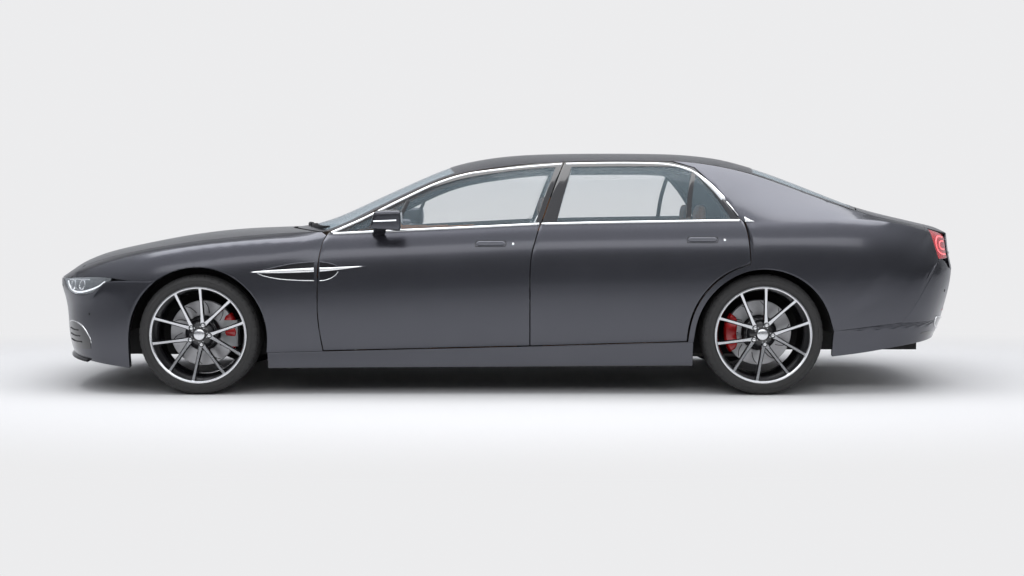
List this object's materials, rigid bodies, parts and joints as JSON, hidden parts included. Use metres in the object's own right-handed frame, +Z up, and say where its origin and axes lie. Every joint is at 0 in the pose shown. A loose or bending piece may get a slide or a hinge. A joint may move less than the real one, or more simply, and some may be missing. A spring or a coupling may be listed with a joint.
{
  "type": "four-door luxury sedan",
  "caption": "Long low four-door sedan with opening doors, hood and boot lid, steered front wheels and a tan leather cabin.",
  "frame": {"origin": "on the ground under the middle of the car", "axes": "+X towards the nose, +Y towards the car's left side, +Z up"},
  "size_m": [5.395, 2.1378, 1.3888],
  "materials": {
    "body_paint": "satin",
    "underbody_black": "matte",
    "pillar_black": "matte",
    "grille_black": "gloss",
    "lamp_clear": "gloss",
    "lamp_red": "gloss",
    "glass_clear": "gloss",
    "leather_tan": "satin",
    "wheel_leather": "satin",
    "cast_alloy": "matte",
    "exhaust_steel": "satin",
    "axle_iron": "matte",
    "caliper_red": "gloss",
    "wheel_alloy": "satin",
    "tyre_black": "matte"
  },
  "bodies": {
    "body": {"floor_pan": "underbody_black", "sills": "body_paint", "fenders": "body_paint", "quarter_panels": "body_paint", "roof": "body_paint", "pillars": "pillar_black", "front_bumper": "body_paint", "grille": "grille_black", "headlamps": "lamp_clear", "rear_bumper": "body_paint", "tail_lamps": "lamp_red", "windscreen": "glass_clear", "rear_window": "glass_clear", "wheel_liners": "underbody_black", "dashboard": "leather_tan", "centre_console": "leather_tan", "front_seats": "leather_tan", "rear_seat": "leather_tan", "engine_block": "cast_alloy", "exhaust": "exhaust_steel", "front_axle": "axle_iron", "rear_axle": "axle_iron", "rear_calipers": "caliper_red"},
    "front_left_door": {"door_front_left": "body_paint", "glass_front_left": "glass_clear", "mirror_left": "body_paint"},
    "front_right_door": {"door_front_right": "body_paint", "glass_front_right": "glass_clear", "mirror_right": "body_paint"},
    "rear_left_door": {"door_rear_left": "body_paint", "glass_rear_left": "glass_clear"},
    "rear_right_door": {"door_rear_right": "body_paint", "glass_rear_right": "glass_clear"},
    "hood_panel": {"hood": "body_paint"},
    "boot_panel": {"boot_lid": "body_paint"},
    "left_knuckle": {"knuckle_left": "cast_alloy"},
    "right_knuckle": {"knuckle_right": "cast_alloy"},
    "front_left_wheel": {"wheel_front_left": "wheel_alloy", "tyre_front_left": "tyre_black"},
    "front_right_wheel": {"wheel_front_right": "wheel_alloy", "tyre_front_right": "tyre_black"},
    "rear_left_wheel": {"wheel_rear_left": "wheel_alloy", "tyre_rear_left": "tyre_black"},
    "rear_right_wheel": {"wheel_rear_right": "wheel_alloy", "tyre_rear_right": "tyre_black"},
    "steering": {"steering_wheel": "wheel_leather"}
  },
  "joints": [
    {"name": "front_left_door_hinge", "type": "hinge", "parent": "body", "child": "front_left_door", "pos_m": [1.05813, 0.92318, 0.6], "axis": [0, 0, -1], "range_deg": [0, 65]},
    {"name": "front_right_door_hinge", "type": "hinge", "parent": "body", "child": "front_right_door", "pos_m": [1.05813, -0.92318, 0.6], "axis": [0, 0, 1], "range_deg": [0, 65]},
    {"name": "rear_left_door_hinge", "type": "hinge", "parent": "body", "child": "rear_left_door", "pos_m": [-0.1394, 0.93327, 0.6], "axis": [0, 0, -1], "range_deg": [0, 65]},
    {"name": "rear_right_door_hinge", "type": "hinge", "parent": "body", "child": "rear_right_door", "pos_m": [-0.1394, -0.93327, 0.6], "axis": [0, 0, 1], "range_deg": [0, 65]},
    {"name": "hood_hinge", "type": "hinge", "parent": "body", "child": "hood_panel", "pos_m": [1.07037, 0, 0.91613], "axis": [0, -1, 0], "range_deg": [0, 50]},
    {"name": "boot_lid_hinge", "type": "hinge", "parent": "body", "child": "boot_panel", "pos_m": [-2.00796, 0, 1.04172], "axis": [0, 1, 0], "range_deg": [0, 70]},
    {"name": "left_steer", "type": "hinge", "parent": "body", "child": "left_knuckle", "pos_m": [1.735, 0.69, 0.34], "axis": [0, 0, 1], "range_deg": [-32, 32]},
    {"name": "right_steer", "type": "hinge", "parent": "body", "child": "right_knuckle", "pos_m": [1.735, -0.69, 0.34], "axis": [0, 0, 1], "range_deg": [-32, 32]},
    {"name": "front_left_spin", "type": "hinge", "parent": "left_knuckle", "child": "front_left_wheel", "pos_m": [1.735, 0.795, 0.34], "axis": [0, 1, 0], "continuous": true},
    {"name": "front_right_spin", "type": "hinge", "parent": "right_knuckle", "child": "front_right_wheel", "pos_m": [1.735, -0.795, 0.34], "axis": [0, 1, 0], "continuous": true},
    {"name": "rear_left_spin", "type": "hinge", "parent": "body", "child": "rear_left_wheel", "pos_m": [-1.455, 0.79, 0.342], "axis": [0, 1, 0], "continuous": true},
    {"name": "rear_right_spin", "type": "hinge", "parent": "body", "child": "rear_right_wheel", "pos_m": [-1.455, -0.79, 0.342], "axis": [0, 1, 0], "continuous": true},
    {"name": "steering_column", "type": "hinge", "parent": "body", "child": "steering", "pos_m": [0.62, 0.385, 0.8], "axis": [-0.9272, 0, 0.3746], "range_deg": [-450, 450]}
  ],
  "couplings": [
    {"joint": "right_steer", "follows": "left_steer", "ratio": 1},
    {"joint": "steering_column", "follows": "left_steer", "ratio": 14}
  ]
}
